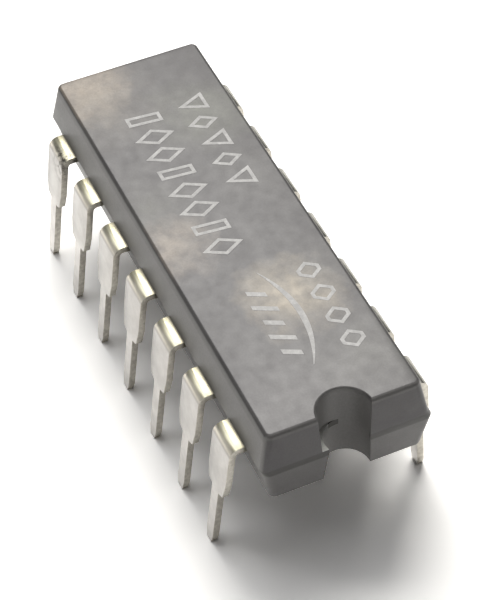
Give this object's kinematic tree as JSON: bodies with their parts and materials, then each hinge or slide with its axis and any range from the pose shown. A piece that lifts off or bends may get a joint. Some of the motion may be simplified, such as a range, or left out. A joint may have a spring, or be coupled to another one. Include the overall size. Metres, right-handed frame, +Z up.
{
  "type": "dual in-line integrated circuit",
  "caption": "Dark moulded chip package with a half-round end notch, two rows of bent tinned leads on a standard pitch, and a sealed lead frame, die and bond wires inside.",
  "frame": {"origin": "middle of the footprint of the lead tips, on the surface they stand on", "axes": "+X along the body away from the notched end, +Y towards the row of leads 8 to 14, +Z up"},
  "size_m": [0.0192, 0.0082, 0.0067],
  "materials": {
    "epoxy": "satin dark grey moulding resin with a fine even grain and a dry bloom",
    "tinned_lead": "dull tin coat on stamped sheet, duller on the sheared sides",
    "frame_metal": "bare nickel-iron sheet, dark where it was cut",
    "silver_adhesive": "dull silver-filled adhesive",
    "silicon": "polished dark silicon",
    "gold_wire": "fine bright gold wire",
    "marking": "thin pale grey ink"
  },
  "bodies": {
    "root": {"body": "epoxy", "die_pad": "frame_metal", "die_attach": "silver_adhesive", "die": "silicon", "lead_01": "tinned_lead", "lead_02": "tinned_lead", "lead_03": "tinned_lead", "lead_04": "tinned_lead", "lead_05": "tinned_lead", "lead_06": "tinned_lead", "lead_07": "tinned_lead", "lead_08": "tinned_lead", "lead_09": "tinned_lead", "lead_10": "tinned_lead", "lead_11": "tinned_lead", "lead_12": "tinned_lead", "lead_13": "tinned_lead", "lead_14": "tinned_lead", "bond_wire_01": "gold_wire", "bond_wire_02": "gold_wire", "bond_wire_03": "gold_wire", "bond_wire_04": "gold_wire", "bond_wire_05": "gold_wire", "bond_wire_06": "gold_wire", "bond_wire_07": "gold_wire", "bond_wire_08": "gold_wire", "bond_wire_09": "gold_wire", "bond_wire_10": "gold_wire", "bond_wire_11": "gold_wire", "bond_wire_12": "gold_wire", "bond_wire_13": "gold_wire", "bond_wire_14": "gold_wire"}
  },
  "joints": []
}
